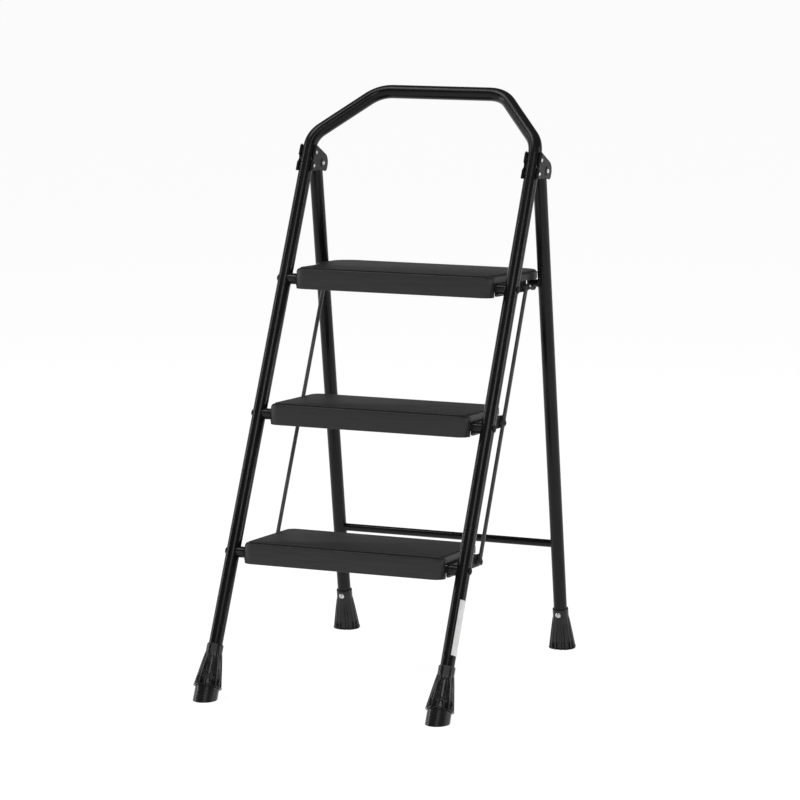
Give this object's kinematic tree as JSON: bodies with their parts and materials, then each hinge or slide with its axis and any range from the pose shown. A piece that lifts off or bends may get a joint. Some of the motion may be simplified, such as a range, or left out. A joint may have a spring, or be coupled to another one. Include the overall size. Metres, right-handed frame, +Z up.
{
  "type": "folding step ladder",
  "caption": "Folding step ladder with a bent-tube hand rail, broad plastic treads, a swinging rear frame and flared non-slip feet.",
  "frame": {"origin": "on the floor, under the middle of the open ladder's bounding box", "axes": "+Z up, +X across the ladder to its right as seen when climbing, +Y from the climbing side to the rear legs"},
  "size_m": [0.503, 0.69, 1.073],
  "materials": {
    "gloss_black_tube": "gloss black powder coat",
    "grey_rod": "satin dark grey coat",
    "black_steel_plate": "satin black powder coat",
    "bright_fastener": "zinc plated",
    "step_plastic": "fine streaked dark grey moulding",
    "tread_mat": "matte dark grey non-slip",
    "black_plastic": "satin black moulding",
    "foot_rubber": "matte black",
    "label_paper": "blank white sticker"
  },
  "bodies": {
    "front_frame": {"front_frame_tube": "gloss_black_tube", "hinge_cheek_left_outer": "black_steel_plate", "hinge_cheek_left_inner": "black_steel_plate", "hinge_cheek_right_inner": "black_steel_plate", "hinge_cheek_right_outer": "black_steel_plate", "rail_rivets": "bright_fastener", "leg_pivot_rivets": "bright_fastener", "step_pivot_bolts": "black_steel_plate", "step_pivot_bushes": "black_plastic", "front_boot_left": "black_plastic", "front_boot_right": "black_plastic", "front_pad_left": "foot_rubber", "front_pad_right": "foot_rubber", "front_boot_screws": "bright_fastener", "blank_label": "label_paper"},
    "rear_frame": {"rear_leg_left": "gloss_black_tube", "rear_leg_right": "gloss_black_tube", "rear_crossbar": "gloss_black_tube", "rest_pins": "bright_fastener", "rest_pin_sleeves": "black_plastic", "leg_end_caps": "black_plastic", "leg_pivot_sleeves": "black_plastic", "rear_boot_left": "black_plastic", "rear_boot_right": "black_plastic", "rear_pad_left": "foot_rubber", "rear_pad_right": "foot_rubber", "rear_boot_screws": "bright_fastener"},
    "step_top": {"step_body_top": "step_plastic", "tread_mat_top": "tread_mat", "side_bracket_top_left": "black_steel_plate", "side_bracket_top_right": "black_steel_plate", "cross_braces_top": "black_steel_plate", "tread_screws_top": "bright_fastener", "link_rivets_top": "black_steel_plate", "latch_rivets": "black_steel_plate"},
    "step_middle": {"step_body_middle": "step_plastic", "tread_mat_middle": "tread_mat", "side_bracket_middle_left": "black_steel_plate", "side_bracket_middle_right": "black_steel_plate", "cross_braces_middle": "black_steel_plate", "tread_screws_middle": "bright_fastener", "link_rivets_middle": "black_steel_plate"},
    "step_bottom": {"step_body_bottom": "step_plastic", "tread_mat_bottom": "tread_mat", "side_bracket_bottom_left": "black_steel_plate", "side_bracket_bottom_right": "black_steel_plate", "cross_braces_bottom": "black_steel_plate", "tread_screws_bottom": "bright_fastener", "link_rivets_bottom": "black_steel_plate"},
    "link_rods": {"link_rod_left": "grey_rod", "link_rod_right": "grey_rod"},
    "latch_left": {"latch_lever_left": "black_steel_plate"},
    "latch_right": {"latch_lever_right": "black_steel_plate"}
  },
  "joints": [
    {"name": "fold_top", "type": "hinge", "parent": "front_frame", "child": "step_top", "pos_m": [0, 0.03456, 0.7236], "axis": [1, 0, 0], "range_deg": [0, 62]},
    {"name": "fold_middle", "type": "hinge", "parent": "front_frame", "child": "step_middle", "pos_m": [0, -0.0819, 0.4864], "axis": [1, 0, 0], "range_deg": [0, 62]},
    {"name": "fold_bottom", "type": "hinge", "parent": "front_frame", "child": "step_bottom", "pos_m": [0, -0.19836, 0.2492], "axis": [1, 0, 0], "range_deg": [0, 62]},
    {"name": "rod_turn", "type": "hinge", "parent": "step_top", "child": "link_rods", "pos_m": [0, 0.17017, 0.7122], "axis": [-1, 0, 0], "range_deg": [0, 62]},
    {"name": "latch_left_open", "type": "hinge", "parent": "step_top", "child": "latch_left", "pos_m": [-0.2005, 0.22149, 0.70718], "axis": [1, 0, 0], "range_deg": [0, 80], "stiffness_Nm_per_rad": 0.02, "springref_deg": -20.05},
    {"name": "latch_right_open", "type": "hinge", "parent": "step_top", "child": "latch_right", "pos_m": [0.2005, 0.22149, 0.70718], "axis": [1, 0, 0], "range_deg": [0, 80], "stiffness_Nm_per_rad": 0.02, "springref_deg": -20.05},
    {"name": "rear_frame_swing", "type": "hinge", "parent": "front_frame", "child": "rear_frame", "pos_m": [0, 0.17569, 0.92823], "axis": [-1, 0, 0], "range_deg": [0, 34]}
  ],
  "couplings": [
    {"joint": "fold_middle", "follows": "fold_top", "ratio": 1},
    {"joint": "fold_bottom", "follows": "fold_top", "ratio": 1},
    {"joint": "rod_turn", "follows": "fold_top", "ratio": 1},
    {"joint": "rear_frame_swing", "follows": "fold_top", "ratio": 0.548}
  ]
}
